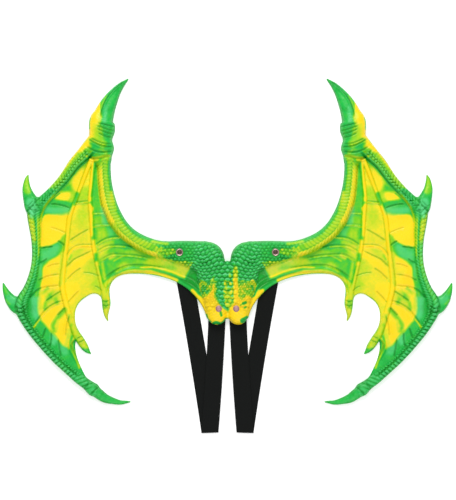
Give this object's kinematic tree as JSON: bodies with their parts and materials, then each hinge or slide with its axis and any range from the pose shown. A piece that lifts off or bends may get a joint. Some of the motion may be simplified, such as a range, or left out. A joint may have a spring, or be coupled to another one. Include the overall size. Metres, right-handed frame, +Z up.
{
  "type": "dragon wings for dressing up",
  "caption": "Pair of soft foam dragon wings moulded in one piece, with scaled shoulders, clawed bones, ribbed skin and two elastic arm loops held by rivets.",
  "frame": {"origin": "on the surface that the wings lie on, under the middle of the box around wings and straps", "axes": "+X to the viewer's right across the span, +Y from the strap folds to the top claws, +Z up out of the face"},
  "size_m": [0.7208, 0.5676, 0.0258],
  "materials": {
    "painted_foam": "soft moulded foam skin, green and yellow, satin",
    "black_elastic": "woven elastic, matt black",
    "eyelet_metal": "pale ring with a dark brown sunken middle",
    "cap_metal": "satin metal cap"
  },
  "bodies": {
    "root": {"wing_moulding": "painted_foam", "left_strap": "black_elastic", "right_strap": "black_elastic", "left_upper_rivet": "eyelet_metal", "right_upper_rivet": "eyelet_metal", "left_lower_rivet": "cap_metal", "right_lower_rivet": "cap_metal", "left_upper_back_cap": "cap_metal", "right_upper_back_cap": "cap_metal", "left_lower_back_cap": "cap_metal", "right_lower_back_cap": "cap_metal"}
  },
  "joints": []
}
